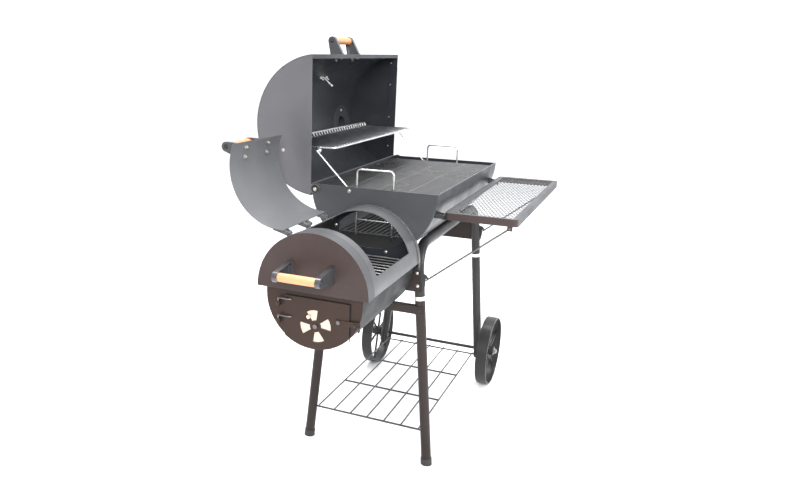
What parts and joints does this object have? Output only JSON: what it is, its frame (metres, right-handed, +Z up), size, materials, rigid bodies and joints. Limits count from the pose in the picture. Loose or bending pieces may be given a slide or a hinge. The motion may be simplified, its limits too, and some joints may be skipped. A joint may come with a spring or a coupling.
{
  "type": "offset smoker",
  "caption": "Barrel smoker with a side firebox, hinged lid and hatch, warming rack, fold-down front shelf, lower wire shelf and wheels.",
  "frame": {"origin": "centre of the object's footprint box at floor level, with the lid and hatch open", "axes": "+X from the firebox to the wheeled end, +Y towards the lid hinges at the rear, +Z up"},
  "size_m": [1.306, 0.9624, 1.2472],
  "materials": {
    "frame_paint": "satin anthracite paint",
    "leg_paint": "dark brown satin paint",
    "body_paint": "satin blue-grey paint",
    "hood_paint": "satin grey paint",
    "end_paint": "satin warm grey paint",
    "door_paint": "satin brown paint",
    "wire_coat": "black coated wire",
    "plated": "bright plated wire",
    "zinc": "zinc plated",
    "iron": "oiled dark iron",
    "bracket_black": "glossy black moulding",
    "cap_black": "matt black",
    "collar": "pale matt band",
    "wood": "oiled pale wood",
    "vent": "cream coated disc",
    "mesh": "grey expanded mesh"
  },
  "bodies": {
    "stand": {"front_frame_tube": "frame_paint", "rear_frame_tube": "frame_paint", "near_legs": "leg_paint", "far_legs": "frame_paint", "leg_collars": "collar", "foot_caps": "cap_black", "cradle_plates": "frame_paint", "crossbar": "leg_paint", "stay_hooks": "cap_black", "wire_shelf": "wire_coat", "axle": "frame_paint", "frame_bolts": "zinc", "chamber_shell": "body_paint", "chamber_near_end": "body_paint", "chamber_far_end": "body_paint", "lid_hinge_pins": "body_paint", "grate_ledges": "iron", "charcoal_rests": "iron", "firebox_trough": "hood_paint", "firebox_front": "door_paint", "firebox_inner_wall": "body_paint", "firebox_hood": "hood_paint", "firebox_hood_end": "end_paint", "firebox_grate": "iron", "carry_handle_brackets": "bracket_black", "carry_grip": "wood", "hatch_hinge_pins": "hood_paint", "door_sockets": "door_paint", "shelf_brackets": "cap_black"},
    "lid": {"lid_shell": "body_paint", "lid_near_end": "body_paint", "lid_far_end": "body_paint", "lid_seal_strips": "body_paint", "lid_bolts": "zinc", "lid_handle_brackets": "bracket_black", "lid_grip": "wood", "thermometer": "zinc", "vent_plate": "body_paint", "chimney_pipe": "body_paint"},
    "chimney_cap": {"chimney_cap": "body_paint"},
    "rack": {"warming_rack": "plated"},
    "struts": {"rack_struts": "plated"},
    "near_grate": {"cooking_grate_near": "wire_coat"},
    "far_grate": {"cooking_grate_far": "wire_coat"},
    "coal_grate": {"charcoal_grate": "iron", "lift_loops": "plated"},
    "hatch": {"hatch_plate": "hood_paint", "hatch_hinge_arms": "hood_paint", "hatch_handle_brackets": "bracket_black", "hatch_grip": "wood"},
    "ash_door": {"door_plate": "door_paint", "door_fittings": "door_paint"},
    "latch": {"door_latch": "door_paint"},
    "air_disc": {"vent_disc": "vent"},
    "shelf": {"shelf_frame": "end_paint", "shelf_mesh": "mesh"},
    "stays": {"shelf_stays": "zinc"},
    "front_wheel": {"front_wheel": "frame_paint"},
    "rear_wheel": {"rear_wheel": "frame_paint"}
  },
  "joints": [
    {"name": "lid_hinge", "type": "hinge", "parent": "stand", "child": "lid", "pos_m": [0.173, 0.09975, 0.822], "axis": [1, 0, 0], "range_deg": [0, 90]},
    {"name": "rack_pivot", "type": "hinge", "parent": "lid", "child": "rack", "pos_m": [0.173, 0.20625, 0.927], "axis": [1, 0, 0], "range_deg": [-90, 0]},
    {"name": "strut_pivot", "type": "hinge", "parent": "stand", "child": "struts", "pos_m": [0.173, -0.00525, 0.824], "axis": [1, 0, 0], "range_deg": [0, 90]},
    {"name": "chimney_cap_pivot", "type": "hinge", "parent": "lid", "child": "chimney_cap", "pos_m": [0.423, 0.47875, 0.985], "axis": [0, 1, 0], "range_deg": [0, 90]},
    {"name": "near_grate_lift", "type": "slide", "parent": "stand", "child": "near_grate", "axis": [0, 0, -1], "range_m": [-0.08, 0]},
    {"name": "far_grate_lift", "type": "slide", "parent": "stand", "child": "far_grate", "axis": [0, 0, -1], "range_m": [-0.08, 0]},
    {"name": "coal_grate_lift", "type": "slide", "parent": "stand", "child": "coal_grate", "axis": [0, 0, -1], "range_m": [-0.05, 0]},
    {"name": "hatch_hinge", "type": "hinge", "parent": "stand", "child": "hatch", "pos_m": [-0.3745, 0.02775, 0.763], "axis": [1, 0, 0], "range_deg": [0, 143]},
    {"name": "door_hinge", "type": "hinge", "parent": "stand", "child": "ash_door", "pos_m": [-0.561, 0.01775, 0.58], "axis": [0, 0, -1], "range_deg": [0, 110]},
    {"name": "latch_pivot", "type": "hinge", "parent": "ash_door", "child": "latch", "pos_m": [-0.558, -0.14725, 0.577], "axis": [-1, 0, 0], "range_deg": [0, 60]},
    {"name": "air_disc_pivot", "type": "hinge", "parent": "ash_door", "child": "air_disc", "pos_m": [-0.554, -0.08425, 0.555], "axis": [1, 0, 0], "range_deg": [0, 31]},
    {"name": "shelf_fold", "type": "hinge", "parent": "stand", "child": "shelf", "pos_m": [0.173, -0.27925, 0.772], "axis": [1, 0, 0], "range_deg": [0, 90]},
    {"name": "stay_pivot", "type": "hinge", "parent": "shelf", "child": "stays", "pos_m": [0.173, -0.46125, 0.763], "axis": [1, 0, 0], "range_deg": [-141.3, 0]},
    {"name": "front_wheel_spin", "type": "hinge", "parent": "stand", "child": "front_wheel", "pos_m": [0.525, -0.30025, 0.128], "axis": [0, 1, 0], "continuous": true},
    {"name": "rear_wheel_spin", "type": "hinge", "parent": "stand", "child": "rear_wheel", "pos_m": [0.525, 0.14775, 0.128], "axis": [0, 1, 0], "continuous": true}
  ],
  "couplings": [
    {"joint": "rack_pivot", "follows": "lid_hinge", "ratio": -1},
    {"joint": "strut_pivot", "follows": "lid_hinge", "ratio": 1},
    {"joint": "stay_pivot", "follows": "shelf_fold", "ratio": -1.57}
  ]
}
